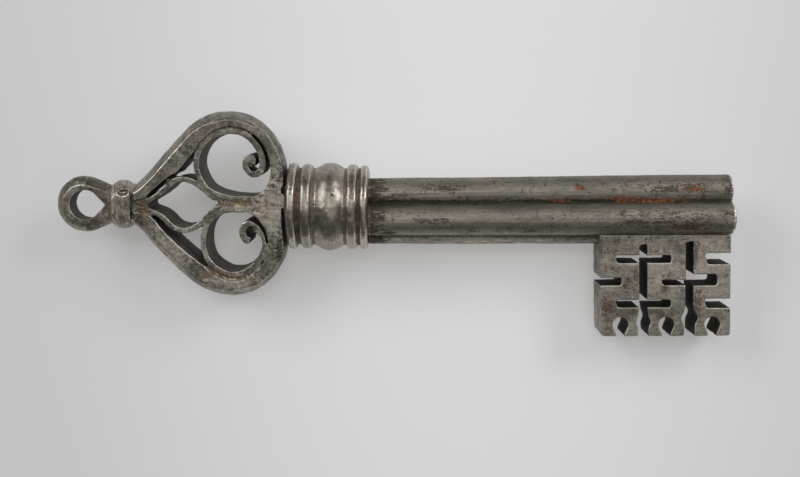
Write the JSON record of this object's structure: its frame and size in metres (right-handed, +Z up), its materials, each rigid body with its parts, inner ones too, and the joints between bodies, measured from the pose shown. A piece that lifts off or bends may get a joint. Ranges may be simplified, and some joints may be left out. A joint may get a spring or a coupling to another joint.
{
  "type": "key",
  "caption": "Old iron key with a scrolled heart bow, suspension eye, turned collar, lobed hollow pipe and a pierced warded bit, brazed with brass.",
  "frame": {"origin": "middle of the underside of the key's box, with the key lying flat on its collar", "axes": "+X along the key from the suspension eye to the pipe's mouth, -Y the way the bit points, +Z up out of the bow's flat face"},
  "size_m": [0.1492, 0.0486, 0.0193],
  "materials": {
    "worn_iron": "filed, pitted and worn grey iron with rust in the pits",
    "bright_iron": "turned and handled bright iron with brown grooves",
    "dark_iron": "dark iron with rust in the flutes",
    "braze": "dull brass run into the joints"
  },
  "bodies": {
    "root": {"suspension_eye": "worn_iron", "knop": "worn_iron", "bow_bar_upper": "worn_iron", "bow_bar_lower": "worn_iron", "ogee_strip_upper": "worn_iron", "ogee_strip_lower": "worn_iron", "scroll_upper": "worn_iron", "scroll_lower": "worn_iron", "tang": "worn_iron", "collar": "bright_iron", "pipe": "dark_iron", "bit": "worn_iron", "braze_apex": "braze", "braze_stem": "braze", "braze_tang": "braze", "braze_scroll": "braze"}
  },
  "joints": []
}
